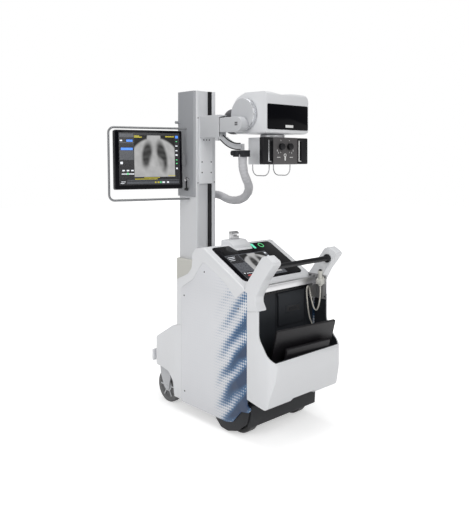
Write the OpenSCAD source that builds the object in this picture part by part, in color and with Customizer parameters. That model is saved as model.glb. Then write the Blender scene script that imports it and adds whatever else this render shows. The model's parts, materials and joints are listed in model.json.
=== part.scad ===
// Portable digital x-ray machine for ward use: a motor-driven cart with a turning
// column, a lifting carriage, a telescoping arm, a tube head with collimator and a
// side monitor. +Z is up, +Y is the driving direction, the handle is at the -Y end.
// Sizes are in millimetres and are named from the cart's own centre plane (x = 0).

/* [Cart body] */
// Width of the cart over its side panels
body_w = 570; // [500:5:640]
// Thickness of a side panel
panel_t = 8; // [4:1:12]
// Front edge of the side panels
panel_front = 100; // [95:1:105]
// Front of the cover's apron
apron_front = 143; // [138:1:146]
// Rear edge of the side panels, where the bin starts
panel_rear = -458; // [-470:1:-450]
// Height of the lower edge of the side panels
panel_bottom = 62; // [50:1:75]
// Height of the console's far edge
deck_top = 994; // [980:1:1010]
// Front face of the front housing
housing_front = 395; // [392:1:410]
// Wall of the moulded housings
shell_wall = 5; // [3:1:7]

/* [Wheels] */
// Radius of a drive wheel
drive_r = 100; // [92:1:100]
// Width of a drive wheel
drive_w = 70; // [50:1:80]
// Distance from the centre plane to the middle of a drive wheel
drive_x = 200; // [190:1:205]
// Place of the drive axle along the cart
drive_y = -340; // [-350:1:-330]
// Radius of a caster wheel
caster_r = 100; // [90:1:104]
// Width of a caster wheel
caster_w = 40; // [30:1:46]
// Distance from the centre plane to a caster
caster_x = 225; // [210:1:230]
// Place of the caster swivels along the cart
swivel_y = 320; // [315:1:325]
// Trail of the caster axle behind its swivel
caster_trail = 40; // [30:1:45]

/* [Bin and handle] */
// Wall of the detector bin
bin_wall = 8; // [5:1:10]
// Thickness of the dark lining
liner_t = 4; // [2:1:6]
// Height of the front rim of the bin
bin_rim = 425; // [400:1:440]
// Reach of the bin's front rim behind the centre
bin_reach = 655; // [650:1:665]
// Diameter of the handle bar
bar_d = 29; // [25:1:34]
// Distance of the handle bar behind the centre
bar_y = 592; // [586:1:600]
// Height of the handle bar
bar_z = 936; // [930:1:942]
// Thickness of a handle arm
arm_t = 60; // [50:1:62]
// Height of the cross rail's centre
rail_z = 805; // [800:1:812]

/* [Column] */
// Height of the column's top
column_top = 1930; // [1900:5:1960]
// Width of the column
column_w = 156; // [150:1:162]
// Depth of the column
column_d = 180; // [170:1:184]
// Place of the column's turning axis
column_y = 290; // [286:1:292]
// Height of the turret that carries the column
turret_top = 864; // [850:1:880]

/* [Arm] */
// Height of the arm's centre line
arm_z = 1706; // [1700:1:1712]
// Height of the inner arm section
arm_h = 88; // [80:1:92]
// Width of the inner arm section
arm_w = 50; // [44:1:52]
// Distance from the column's face to the end pivot
arm_reach = 337; // [330:1:345]

/* [Tube head] */
// Radius of the trunnion disc
disc_r = 95; // [90:1:98]
// Length of the tube housing
head_w = 376; // [360:1:390]
// Depth of the tube housing
head_d = 285; // [275:1:290]
// Height of the tube housing
head_h = 245; // [240:1:252]
// Width of the collimator body
collimator_w = 224; // [210:1:232]
// Depth of the collimator body
collimator_d = 197; // [190:1:204]
// Height of the collimator body
collimator_h = 164; // [158:1:168]

/* [Monitor] */
// Width of the monitor
monitor_w = 433; // [420:1:440]
// Height of the monitor
monitor_h = 363; // [355:1:370]
// Thickness of the monitor
monitor_t = 40; // [35:1:45]
// Turn of the monitor towards the operator
monitor_turn = 18; // [15:1:20]
// Backward tilt of the monitor
monitor_tilt = 3.5; // [0:0.5:5]

/* [Clearances] */
// Radial clearance of a shaft in its bore
run = 0.05; // [0.02:0.01:0.1]
// Gap between flat faces that slide or turn past each other
face = 0.3; // [0.2:0.1:0.5]

/* [Hidden] */
$fn = 64;

// Colours of the photographed finishes
white = [0.88, 0.89, 0.91];
grey = [0.70, 0.71, 0.73];
cream = [0.80, 0.79, 0.74];
charcoal = [0.13, 0.14, 0.15];
black = [0.03, 0.03, 0.04];
silver = [0.72, 0.72, 0.73];
rubber = [0.42, 0.42, 0.43];

side_x = body_w / 2;
panel_in = side_x - panel_t;
rear_in = panel_in - 1;

// Rounded outlines: every vertex is [a, b, radius]
function unit(v) = v / norm(v);
function turned(v, a) = [v[0] * cos(a) - v[1] * sin(a), v[0] * sin(a) + v[1] * cos(a)];
function fillet(a, b, c, r, n) =
    r == 0 ? [b] :
    let (u = unit(a - b), w = unit(c - b), half = acos(u * w) / 2,
         o = b + unit(u + w) * r / sin(half), s = b + u * r / tan(half) - o,
         e = b + w * r / tan(half) - o, way = cross(s, e) > 0 ? 1 : -1)
    [for (i = [0:n]) o + turned(s, way * (180 - 2 * half) * i / n)];
function flat(p) = [p[0], p[1]];
function rounded(p, n = 6) =
    [for (i = [0:len(p) - 1])
        each fillet(flat(p[(i + len(p) - 1) % len(p)]), flat(p[i]), flat(p[(i + 1) % len(p)]),
                    len(p[i]) > 2 ? p[i][2] : 0, n)];

// A side-view outline of [y, z, radius] points, as a solid from x0 to x1
module along_x(outline, x0, x1, n = 6)
    translate([x0, 0, 0]) rotate([90, 0, 90]) linear_extrude(x1 - x0) polygon(rounded(outline, n));
// A rear-view outline of [x, z, radius] points, as a solid from y0 to y1
module along_y(outline, y0, y1, n = 6)
    translate([0, y1, 0]) rotate([90, 0, 0]) linear_extrude(y1 - y0) polygon(rounded(outline, n));
// A plan outline of [x, y, radius] points, as a solid from z0 to z1
module along_z(outline, z0, z1, n = 6)
    translate([0, 0, z0]) linear_extrude(z1 - z0) polygon(rounded(outline, n));
function frame4(a0, b0, a1, b1, r) = [[a0, b0, r], [a1, b0, r], [a1, b1, r], [a0, b1, r]];
module block(lo, hi) translate(lo) cube(hi - lo);
module rod_x(x0, x1, y, z, r) translate([x0, y, z]) rotate([0, 90, 0]) cylinder(r = r, h = x1 - x0);
module rod_y(x, y0, y1, z, r) translate([x, y1, z]) rotate([90, 0, 0]) cylinder(r = r, h = y1 - y0);
module rod_z(x, y, z0, z1, r) translate([x, y, z0]) cylinder(r = r, h = z1 - z0);

// Chassis: floor frame, front caster beam, rear axle case and column foot
frame_z0 = 105;
frame_z1 = 150;
beam_z0 = 2 * caster_r + 30;
beam_z1 = beam_z0 + 34;
beam_half = side_x - 23;
axle_r = 15;
stem_r = 14;
case_x = drive_x - drive_w / 2 - 12;
case_z0 = 58;
case_half = 80;
arch_front = drive_y + drive_r + 14;

// The seam between side panel and top cover, from front to rear: [y, z, radius]
seam = [[panel_front, 734], [-10, 801, 40], [-100, 915, 25], [-272, 828, 30],
        [-372, 747, 12], [-440, 800]];
seam_gap = 0.3;

module chassis() color(charcoal) difference() {
    union() {
        block([-rear_in, arch_front, frame_z0], [rear_in, panel_front, frame_z1]);
        block([-case_x, drive_y - case_half, case_z0], [case_x, arch_front, frame_z1 + 60]);
        block([-rear_in, 60, frame_z1], [rear_in, panel_front - 2, beam_z1]);
        block([-beam_half, panel_front - 2, beam_z0], [beam_half, swivel_y + 32, beam_z1]);
        for (s = [-1, 1]) rod_x(s > 0 ? case_x : -drive_x - drive_w / 2 + 8,
            s > 0 ? drive_x + drive_w / 2 - 8 : -case_x, drive_y, drive_r, axle_r);
        for (s = [-1, 1]) rod_x(s > 0 ? case_x - 1 : -case_x - 6, s > 0 ? case_x + 6 : -case_x + 1,
            drive_y, drive_r, 40);
    }
    for (s = [-1, 1]) rod_z(s * caster_x, swivel_y, beam_z0 - 1, beam_z1 + 1, stem_r + run);
}

module power_block() color(charcoal)
    block([-rear_in + 40, -300, frame_z1 + 60], [rear_in - 40, 58, 690]);

skirt_bottom = 10;
skirt_t = 8;
module panel_outline_body(x0, x1)
    along_x(concat(
        [for (p = seam) [p[0], p[1] - seam_gap, len(p) > 2 ? p[2] : 0]],
        [[panel_rear, 786, 4], [panel_rear, 196, 10], [-489, 180, 8], [-470, 158, 12],
         [-414, 149, 20], [-345, panel_bottom + 12, 30], [-300, panel_bottom, 30],
         [panel_front, panel_bottom, 6]]), x0, x1);
module side_panel(s) color(white)
    panel_outline_body(s > 0 ? panel_in : -side_x, s > 0 ? side_x : -panel_in);
module side_panel_left() side_panel(-1);
module side_panel_right() side_panel(1);

// Black wheel skirt below the panel's rising edge
module skirt(s) color(charcoal)
    along_x([[-232, frame_z0 - face], [-196, frame_z0 - face, 4], [-196, 56, 14], [-245, skirt_bottom + 5, 25], [-300, skirt_bottom, 30],
             [-376, 32, 40], [-452, 96, 25], [-466, 150, 10], [-460, 190]],
        s > 0 ? panel_in - skirt_t : -panel_in, s > 0 ? panel_in : -panel_in + skirt_t);
module skirt_left() skirt(-1);
module skirt_right() skirt(1);

module rear_bumper() color(charcoal) {
    along_x([[panel_rear + 12, 68, 4], [panel_rear - 6, 68, 8], [panel_rear - 14, 190, 10],
             [panel_rear + 12, 196]], -rear_in + 10, rear_in - 10);
    for (s = [-1, 1]) block([s * 100 - 15, panel_rear + 12, 120], [s * 100 + 15, drive_y - case_half, 160]);
}

housing_top = 516;

// Front housing: bulged cover over the casters, open below, with wheel arches
function housing_side(w) = [
    [panel_front + face, housing_top - w], [178, 500 - w, 20], [housing_front - 45 - w, 398 - w, 50],
    [housing_front - w, 366 - w, 26], [housing_front - 6 - w, 226, 0], [288, 223, 20], [222, 210, 30],
    [178, 160, 25], [165, 75, 6], [panel_front + face, 75, 0]];
module front_housing() color(white) difference() {
    intersection() {
        along_x(housing_side(0), -side_x, side_x, 8);
        along_z([[-side_x, panel_front - 1], [side_x, panel_front - 1], [side_x, housing_front, 70],
                 [-side_x, housing_front, 70]], 0, 600, 10);
    }
    intersection() {
        along_x([[panel_front - 1, 490], [178, 490, 20], [housing_front - 50, 390, 35],
                 [housing_front - shell_wall, 360, 20], [housing_front - shell_wall - 4, 20, 0],
                 [panel_front - 1, 20]], -side_x + shell_wall, side_x - shell_wall, 8);
        along_z([[-side_x + shell_wall, panel_front - 1], [side_x - shell_wall, panel_front - 1],
                 [side_x - shell_wall, housing_front - shell_wall, 65],
                 [-side_x + shell_wall, housing_front - shell_wall, 65]], 0, 600, 10);
    }
    turret_solid(face);
}

turret_half = 104;
turret_front = 386;
spigot_r = 60;
spigot_h = 58;
module turret_solid(g) along_z([[-turret_half - g, 152 - g], [turret_half + g, 152 - g],
    [turret_half + g, turret_front + g, 20], [-turret_half - g, turret_front + g, 20]],
    beam_z1, turret_top + g, 10);
module column_turret() color(cream) difference() {
    turret_solid(0);
    rod_z(0, column_y, turret_top - spigot_h - 2, turret_top + 1, spigot_r + run);
}

// Top cover: shoulder, sloping console deck and the boss of the dock
deck_far = -100;
deck_near = -430;
deck_near_z = 815;
deck_slope = atan((deck_top - deck_near_z) / (deck_far - deck_near));
dock_y = -50;
dock_half = 85;
apron_round = 22;
dock_top = 1016;
glass_half = 240;
glass_t = 3;
glass_far = 16;
glass_len = 322;
// Frame of the sloping deck: origin at the deck's far edge, +Y up the slope, +Z off the deck
module on_deck() translate([0, deck_far, deck_top]) rotate([deck_slope, 0, 0]) children();
module glass_shape(t, g) on_deck() translate([0, 0, -t]) linear_extrude(2 * t) polygon(rounded([
    [-glass_half - g, -glass_far - glass_len - g, 30], [glass_half + g, -glass_far - glass_len - g, 30],
    [glass_half + g, -glass_far + g, 25], [dock_half + 12 - g, -glass_far + g, 12],
    [dock_half - 6 - g, -glass_far - 52 + g, 18], [-dock_half + 6 + g, -glass_far - 52 + g, 18],
    [-dock_half - 12 + g, -glass_far + g, 12], [-glass_half - g, -glass_far + g, 25]]));
module top_cover() color(white) difference() {
    union() {
        along_x(concat(
            [for (p = seam) [p[0], p[1] + seam_gap, len(p) > 2 ? p[2] : 0]],
            [[deck_near, deck_near_z, 6], [deck_far, deck_top, 30], [-29, deck_top - 12, 20],
             [-1, 948, 30], [5, 867, 30], [41, 827, 40], [apron_front, 782, 8],
             [apron_front, housing_top - 8], [panel_front + seam_gap, housing_top + 1.2]]), -side_x, side_x, 8);
        intersection() {
            along_y([[-dock_half, 900], [dock_half, 900], [dock_half - 8, dock_top, 22],
                     [-dock_half + 8, dock_top, 22]], dock_y - 100, dock_y + 22);
            along_x([[dock_y - 96, 900], [dock_y - 88, 990, 6], [dock_y - 44, dock_top + 1, 30],
                     [dock_y + 22, dock_top + 1], [dock_y + 22, 900]], -dock_half, dock_half);
        }
    }
    for (s = [0, 1]) mirror([s, 0, 0]) apron_corner();
    glass_shape(glass_t + 0.2, 0.3);
    block([-rear_in, -300, 600], [rear_in, 100, 716]);
    block([-30, dock_y - 20, dock_top - 6], [30, dock_y + 10, dock_top + 1]);
}
module apron_corner() difference() {
    block([side_x - apron_round, apron_front - apron_round, 400], [side_x + 1, apron_front + 1, 900]);
    rod_z(side_x - apron_round, apron_front - apron_round, 399, 901, apron_round);
}
module console_glass() color(black) intersection() {
    glass_shape(glass_t, 0);
    on_deck() block([-400, -500, -glass_t], [400, 0, 1.5]);
}
module dock_latch() color(silver) difference() {
    along_x([[dock_y - 20, dock_top - 6], [dock_y - 20, dock_top + 36, 4], [dock_y - 4, dock_top + 46, 4],
             [dock_y + 10, dock_top + 46, 4], [dock_y + 10, dock_top - 6]], -30, 30);
    along_x([[dock_y - 21, dock_top + 20], [dock_y - 21, dock_top + 26], [dock_y - 2, dock_top + 30], [dock_y - 2, dock_top + 16]], -18, 31);
}

// Dark rear bay between the side panels, with its flap door
bay_face = -440;
door_x0 = -30;
door_x1 = 188;
door_z0 = 565;
door_z1 = 748;
door_t = 10;
hinge_r = 2.5;
hinge_z = door_z1 - door_t / 2;
hinge_y = bay_face - 1 - door_t / 2;
module rear_bay() color(charcoal) {
    difference() {
        block([-rear_in, bay_face, 200], [rear_in, bay_face + 14, 784]);
        block([door_x0 + 6, bay_face - 1, door_z0 + 6], [door_x1 - 6, bay_face + 10, door_z1 - 24]);
    }
    for (x = [door_x0 - 7, door_x1 + 1]) block([x, hinge_y - 7, hinge_z - 7], [x + 6, bay_face, hinge_z + 7]);
    rod_x(door_x0 - 7, door_x1 + 7, hinge_y, hinge_z, hinge_r);
}
module bay_door() color(charcoal) difference() {
    along_x([[bay_face - 1, door_z0, 0], [bay_face - 1, door_z1, 4.9], [bay_face - 1 - door_t, door_z1, 4.9],
             [bay_face - 1 - door_t, door_z0, 2]], door_x0, door_x1);
    block([34, bay_face - 30, 636], [145, bay_face - 5, 668]);
    rod_x(door_x0 - 1, door_x1 + 1, hinge_y, hinge_z, hinge_r + run);
}

// Bin: outer and inner outlines share one function of the wall
function bin_side(w) = [
    [panel_rear - face, 690 + w * 9], [-541 - w * 0.2, 704 + w * 9, 0], [-541, 566 + w * 9, 90],
    [-598, 488 + w * 5, 70], [-bin_reach + w, bin_rim + 14 + w * 3, w > 0 ? 0 : 22],
    [-bin_reach + 12 + w, 350, 0], [-603 + w, 204 + w, 26], [-540, 212 + w, 20],
    [panel_rear - face, 228 + w]];
function bin_cut(w) = [
    [panel_rear + 1, 228 + w], [-540, 212 + w, 16], [-603 + w, 204 + w, 20],
    [-bin_reach + 12 + w, 350, 0], [-bin_reach + w, bin_rim + 200], [-bin_reach + w, 900],
    [panel_rear + 1, 900]];
bin_corner = 60;
module bin_plan(w) along_z([[-side_x + w, panel_rear + 2], [side_x - w, panel_rear + 2],
    [side_x - w, -bin_reach - 2 + w, bin_corner - w], [-side_x + w, -bin_reach - 2 + w, bin_corner - w]],
    150, 900, 8);
module bin_space(w) intersection() {
    along_x(bin_cut(w), -side_x + w, side_x - w);
    bin_plan(w);
}
module bin_solid() intersection() {
    along_x(bin_side(0), -side_x, side_x, 8);
    bin_plan(0);
}
module bin() color(white) difference() {
    bin_solid();
    bin_space(bin_wall);
    along_y([[-110, 150], [110, 150], [95, 226, 12], [-95, 226, 12]], -bin_reach - 5, panel_rear + 5);
}
module bin_liner() color(charcoal) difference() {
    intersection() {
        bin_solid();
        bin_space(bin_wall + 0.2);
        block([-side_x, -700, 150], [side_x, bay_face - face, 900]);
    }
    bin_space(bin_wall + liner_t);
}

// Handle arms, bar and cross rail
arm_tip = 656;
module handle_arm(s) color(white) difference() {
    along_x([[-440 - 0.6, 800], [-450, 834, 20], [-569, 990, 14], [-597, 1001, 16], [-arm_tip, 968, 18],
             [-578, 870, 120], [-515, 762, 50], [-541, 714, 14], [-541, 705 + 0.6, 0],
             [panel_rear - 0.6, 692, 0], [panel_rear - 0.6, 788]],
        s > 0 ? side_x - arm_t : -side_x, s > 0 ? side_x : -side_x + arm_t, 8);
    rod_x(s > 0 ? side_x - arm_t - 1 : -side_x + arm_t - 13, s > 0 ? side_x - arm_t + 13 : -side_x + arm_t + 1,
        -bar_y, bar_z, bar_d / 2);
    block([s > 0 ? side_x - arm_t - 1 : -side_x + arm_t - 9, -508, rail_z - 18],
        [s > 0 ? side_x - arm_t + 9 : -side_x + arm_t + 1, -494, rail_z + 18]);
}
module handle_arm_left() handle_arm(-1);
module handle_arm_right() handle_arm(1);
module handle_bar() color(black)
    rod_x(-side_x + arm_t - 13, side_x - arm_t + 13, -bar_y, bar_z, bar_d / 2);
module cross_rail() color(silver)
    block([-side_x + arm_t - 9, -508, rail_z - 18], [side_x - arm_t + 9, -494, rail_z + 18]);

bin_reach_y = -bin_reach;

// Flat detectors standing in the bin: width, height, thickness, foot, turn, lean
module slab(w, h, t, foot, turn, lean) translate(foot) rotate([0, 0, -turn]) rotate([lean, 0, 0])
    translate([0, -t, 0]) rotate([90, 0, 0]) translate([0, 0, -t]) linear_extrude(t)
    polygon(rounded(frame4(0, 0, w, h, 8)));
module detector_large() color(charcoal) slab(432, 368, 15, [-166, panel_rear - 5, 240.6], 7, 16.5);
module detector_small() color(charcoal) slab(330, 278, 18, [-134, bin_reach_y + 110, 224.3], 4, 11);

// Hand switch in its holder on the right handle arm, with its two-loop cord
holder = [side_x - arm_t, -560, 800];
module switch_holder() color(cream) difference() {
    along_y([[holder[0] - 34, 812, 6], [holder[0] - 34, 782, 8], [holder[0] - face, 790], [holder[0] - face, 830]],
        -572, -536);
    rod_z(holder[0] - 18, -554, 700, 900, 12);
}
module hand_switch() color(white) {
    rod_z(holder[0] - 18, -554, 776, 850, 11.7);
    rod_z(holder[0] - 18, -554, 850, 862, 14);
    rod_z(holder[0] - 18, -554, 862, 870, 8);
}
cord_r = 4;
cord_path = [for (p = [
        [-18, -554, 775.7], [-18, -554, 740], [-18, -550, 700], [-17, -540, 660], [-14, -522, 632],
        [-10, -500, 640], [-7, -480, 680], [-6, -466, 720], [-6, -459, 750], [-9, -456, 764],
        [-16, -457, 756], [-18, -462, 715], [-18, -466, 670], [-17, -468, 625], [-11, -467, 590],
        [-1, -464, 560], [13, -463, 535], [25, -458, 518], [32, -450, 510], [33, -440.4, 510]
    ]) [holder[0] + p[0], p[1], p[2]]];

// A tube swept along its own points
function tangent(p, i) = unit(p[min(i + 1, len(p) - 1)] - p[max(i - 1, 0)]);
function ring(p, i, r, k) =
    let (t = tangent(p, i), a = unit(cross(t, abs(t[1]) < 0.9 ? [0, 1, 0] : [1, 0, 0])), b = cross(t, a))
    [for (j = [0:k - 1]) p[i] + r * (a * cos(360 * j / k) + b * sin(360 * j / k))];
module tube(p, r, k) polyhedron(
    points = [for (i = [0:len(p) - 1]) each ring(p, i, r, k)],
    faces = concat([[for (j = [0:k - 1]) j]], [[for (j = [k - 1:-1:0]) (len(p) - 1) * k + j]],
        [for (i = [0:len(p) - 2]) for (j = [0:k - 1])
            [i * k + j, (i + 1) * k + j, (i + 1) * k + (j + 1) % k, i * k + (j + 1) % k]]));
module switch_cord() color(cream) tube(cord_path, cord_r, 8);

// Drive wheels and casters
module tyre_profile(r, w, round) translate([0, -w / 2]) polygon(rounded(
    [[axle_r + run, 0], [r * 0.55, 0, 6], [r * 0.62, w * 0.12, 6], [r * 0.72, w * 0.12, 6], [r * 0.76, 0, 6],
     [r, 0, round], [r, w, round], [r * 0.76, w, 6], [r * 0.72, w * 0.88, 6], [r * 0.62, w * 0.88, 6],
     [r * 0.55, w, 6], [axle_r + run, w]]));
module drive_wheel(s) color(black) translate([s * drive_x, drive_y, drive_r]) rotate([0, 90, 0])
    rotate_extrude() tyre_profile(drive_r, drive_w, 14);
module drive_wheel_left() drive_wheel(-1);
module drive_wheel_right() drive_wheel(1);

caster_y = swivel_y - caster_trail;
pin_r = 8;
leg_t = 7;
leg_in = caster_w / 2 + 4;
crown_z0 = 2 * caster_r + 5;
crown_t = 8;
swivel_cap_r = 28;
module caster_fork(s) color(grey) translate([s * caster_x, 0, 0]) {
    for (k = [-1, 1])
        along_x([[caster_y - 26, caster_r + 20, 14], [caster_y - 40, 160, 20], [caster_y - 20, crown_z0 + crown_t],
                 [swivel_y + 26, crown_z0 + crown_t], [swivel_y + 20, 165, 20], [caster_y + 26, caster_r - 6, 20],
                 [caster_y, caster_r - 30, 14], [caster_y - 26, caster_r - 10, 16]],
            k > 0 ? leg_in : -leg_in - leg_t, k > 0 ? leg_in + leg_t : -leg_in);
    along_z([[-leg_in - leg_t, caster_y - 20, 10], [leg_in + leg_t, caster_y - 20, 10],
             [leg_in + leg_t, swivel_y + 26, 14], [-leg_in - leg_t, swivel_y + 26, 14]],
        crown_z0, crown_z0 + crown_t);
    rod_z(0, swivel_y, crown_z0 + crown_t - 2, beam_z0 - face, swivel_cap_r);
    rod_z(0, swivel_y, beam_z0 - 2, beam_z1 - 2, stem_r);
    rod_x(-leg_in - leg_t - 3, leg_in + leg_t + 3, caster_y, caster_r, pin_r);
}
module caster_fork_left() caster_fork(-1);
module caster_fork_right() caster_fork(1);
module caster_wheel(s) color(rubber) translate([s * caster_x, caster_y, caster_r]) rotate([0, 90, 0])
    rotate_extrude() translate([0, -caster_w / 2]) polygon(rounded(
        [[pin_r + run, 0], [34, 0, 3], [40, 8, 4], [62, 8, 4], [70, 0, 4], [caster_r, 0, 9],
         [caster_r, caster_w, 9], [70, caster_w, 4], [62, caster_w - 8, 4], [40, caster_w - 8, 4],
         [34, caster_w, 3], [pin_r + run, caster_w]]));
module caster_wheel_left() caster_wheel(-1);
module caster_wheel_right() caster_wheel(1);

// Column: extruded mast with a guide recess and a cable slot in its rear face
mast_x0 = -column_w / 2 - 2;
mast_x1 = column_w / 2 - 2;
mast_rear = column_y - column_d / 2;
mast_front = column_y + column_d / 2;
guide_x0 = -55;
guide_x1 = 19;
guide_depth = 10;
slot_x1 = 45;
slot_depth = 32;
gland_y = 290;
gland_z = 1270;
mast_foot = turret_top + face;
module column_mast() color(white) {
    along_z([[mast_x0, mast_front, 12], [mast_x0, mast_rear, 4], [guide_x0, mast_rear], [guide_x0, mast_rear + guide_depth],
             [guide_x1, mast_rear + guide_depth], [guide_x1, mast_rear + slot_depth],
             [slot_x1, mast_rear + slot_depth], [slot_x1, mast_rear], [mast_x1, mast_rear, 4],
             [mast_x1, mast_front, 12]], mast_foot, column_top);
    rod_z(0, column_y, turret_top - spigot_h, mast_foot + 1, spigot_r);
    rod_x(mast_x1, mast_x1 + 12, gland_y, gland_z, 30);
}
cover_x = mast_x0 - 12;
cover_z = 1263;
module column_cover() color(grey) {
    along_z([[cover_x, mast_front + 4, 14], [cover_x, mast_rear + 12, 12], [mast_x0, mast_rear + 12],
             [mast_x0, mast_front], [40, mast_front], [40, mast_front + 4, 2]], cover_z, column_top);
    rod_x(cover_x - 26, cover_x, mast_front - 12, 1735, 9);
}
module lock_key() {
    color(silver) rod_x(cover_x - 18, cover_x, 275, 1372, 13);
    color(black) block([cover_x - 16, 271, 1316], [cover_x - 8, 279, 1362]);
    color(black) block([cover_x - 16, 262, 1300], [cover_x - 8, 288, 1316]);
}

// Monitor and its tubular frame, in the plane of the turned and tilted screen
monitor_at = [-140, 272, 1496];
frame_r = 6.5;
frame_out = 30;
frame_up = 198;
frame_down = 246;
frame_bend = 34;
module on_monitor() translate(monitor_at) rotate([0, 0, -monitor_turn]) rotate([-monitor_tilt, 0, 0]) children();
module monitor() color(black) on_monitor()
    along_y(frame4(-monitor_w, -monitor_h / 2, 0, monitor_h / 2, 9), 0, monitor_t);
module frame_corner(x, z, a) translate([x, monitor_t / 2, z]) rotate([90, 0, 0]) rotate([0, 0, a])
    rotate_extrude(angle = 90) translate([frame_bend, 0]) circle(r = frame_r);
module monitor_frame() color(grey) difference() {
    union() on_monitor() {
        left = -monitor_w - frame_out;
        rod_x(left + frame_bend, 90, monitor_t / 2, frame_up, frame_r);
        rod_x(left + frame_bend, 90, monitor_t / 2, -frame_down, frame_r);
        rod_z(left, monitor_t / 2, -frame_down + frame_bend, frame_up - frame_bend, frame_r);
        frame_corner(left + frame_bend, frame_up - frame_bend, 90);
        frame_corner(left + frame_bend, -frame_down + frame_bend, 180);
        block([-260, monitor_t, -40], [90, monitor_t + 14, 40]);
    }
    block([cover_x, 0, 1000], [200, 600, 2000]);
}

// Carriage in the guide recess and the outer arm section bolted to it
plate_x0 = -62;
plate_x1 = 41;
plate_t = 10;
plate_z0 = 1344;
outer_x0 = -66;
outer_x1 = -2;
outer_z0 = 1632;
outer_z1 = 1769;
plate_y1 = mast_rear - face;
plate_y0 = plate_y1 - plate_t;
outer_y0 = 10;
inner_x0 = -60;
inner_x1 = inner_x0 + arm_w;
pivot_y = mast_rear - arm_reach;
pin_big = 20;
tele_gap = 0.4;
module carriage_plate() color(white) {
    along_y(frame4(plate_x0, plate_z0, plate_x1, outer_z1, 3), plate_y0, plate_y1);
    block([guide_x0 + 3, plate_y1 - 0.5, plate_z0 + 4], [guide_x1 - 3, mast_rear + guide_depth - face, outer_z1 - 4]);
}
module arm_outer() color(grey) difference() {
    along_z(frame4(outer_x0, outer_y0, outer_x1, plate_y0, 5), outer_z0, outer_z1);
    block([inner_x0 - tele_gap, outer_y0 - 1, arm_z - arm_h / 2 - tele_gap],
        [inner_x1 + tele_gap, plate_y0 - 5, arm_z + arm_h / 2 + tele_gap]);
}
module arm_inner() color(grey) {
    block([inner_x0, pivot_y, arm_z - arm_h / 2], [inner_x1, plate_y0 - 8, arm_z + arm_h / 2]);
    rod_x(inner_x0, inner_x1, pivot_y, arm_z, arm_h / 2);
    rod_x(inner_x1 - 1, disc_x - face, pivot_y, arm_z, 38);
    rod_x(inner_x1 - 1, disc_x + disc_t - 6, pivot_y, arm_z, pin_big);
}

// Curved cable guide under the outer arm, and the clamp that holds the hose
guide_bend = 250;
guide_t = 6;
band_x0 = -66;
band_x1 = -38;
module guide_arc(r0, r1, x0, x1) translate([x0, -170, 1802]) rotate([90, 0, 90])
    linear_extrude(x1 - x0) polygon(concat(
        [for (a = [-94:4:-38]) r1 * [cos(a), sin(a)]], [for (a = [-38:-4:-94]) r0 * [cos(a), sin(a)]]));
module cable_guide() color(grey) difference() {
    union() {
        guide_arc(guide_bend - 36, guide_bend, band_x0, band_x1);
        block([band_x0, 16, 1612], [band_x1, 44, outer_z0]);
    }
    block([-100, -400, outer_z0], [100, 200, 1900]);
    guide_arc(guide_bend - 30, guide_bend - 6, band_x0 - 1, band_x0 + 5);
}
clamp_z0 = 1512;
module hose_clamp() color(charcoal) difference() {
    union() {
        block([band_x0 - 22, -232, clamp_z0], [band_x1, -140, clamp_z0 + 38]);
        for (y = [-120, -156]) rod_x(band_x0 - 34, band_x0 - 22, y - 25, clamp_z0 + 22, 15);
    }
    guide_keepout();
    rod_z(hose_path[0][0], hose_path[0][1], clamp_z0 - 1, clamp_z0 + 20, hose_r);
}
module guide_keepout() translate([-200, -170, 1802]) rotate([0, 90, 0]) cylinder(r = guide_bend, h = 400, $fn = 180);

// Main hose, from the clamp down and round to the gland on the column's right side
hose_r = 25;
hose_path = [[-63, -196, 1532], [-63, -196, 1500], [-63, -198, 1460], [-56, -200, 1420], [-34, -196, 1382],
             [0, -180, 1346], [34, -146, 1312], [64, -92, 1276], [86, -30, 1252], [106, 40, 1240],
             [126, 106, 1238], [146, 166, 1242], [160, 216, 1252], [160, 256, 1262], [142, 282, 1268],
             [116, 290, 1270], [mast_x1 + 12, gland_y, gland_z]];
module hose() color(grey) tube(hose_path, hose_r, 12);

// Trunnion disc, tube housing with dipped top, dome, glass and cable loop
disc_x = inner_x1 + 14;
disc_t = 34;
disc_y = -118;
disc_z = 1769;
head_x0 = disc_x + disc_t + 3;
head_x1 = head_x0 + head_w;
head_front = -288;
head_back = head_front + head_d;
head_z0 = 1652;
head_z1 = head_z0 + head_h;
dome_h = 20;
dome_y = -138;
dome_z = 1775;
dome_r = 92;
module trunnion_disc() color(silver) difference() {
    union() {
        translate([disc_x, disc_y, disc_z]) rotate([0, 90, 0]) rotate_extrude() polygon(rounded(
            [[0, 0], [disc_r, 0, 3], [disc_r, disc_t, 3], [0, disc_t]]));
        rod_x(disc_x + disc_t - 1, head_x0, disc_y, disc_z, disc_r - 8);
    }
    rod_x(disc_x - 1, disc_x + disc_t - 5, pivot_y, arm_z, pin_big + run);
}
module tube_housing() color(white) {
    intersection() {
        along_x([[head_front, head_z0, 14], [head_front, head_z1, 22], [head_back - 110, head_z1 + 6, 60],
                 [head_back, head_z1 - 40, 90], [head_back, head_z0, 40]], head_x0, head_x1, 10);
        along_y([[head_x0, head_z0, 10], [head_x1, head_z0, 30], [head_x1, head_z1 - 2, 46],
                 [head_x0 + 225, head_z1 - 2, 80], [head_x0 + 120, head_z1 - 14, 120],
                 [head_x0 + 30, head_z1 + 6, 20], [head_x0, head_z1 + 6, 6]], head_front - 5, head_back + 5, 8);
    }
    translate([head_x1, dome_y, dome_z]) rotate([0, 90, 0]) rotate_extrude() polygon(rounded(
        [[0, -1], [dome_r, -1], [dome_r - 12, dome_h - 5, 10], [0, dome_h]]));
}
module head_glass() color(black)
    along_y(frame4(head_x0 + 7, 1675, head_x1 - 8, 1825, 8), head_front - 3, head_front);
loop_x = 70;
loop_r = 27;
loop_bend = 52;
loop_out = head_back + 34;
loop_z = 1732;
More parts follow.
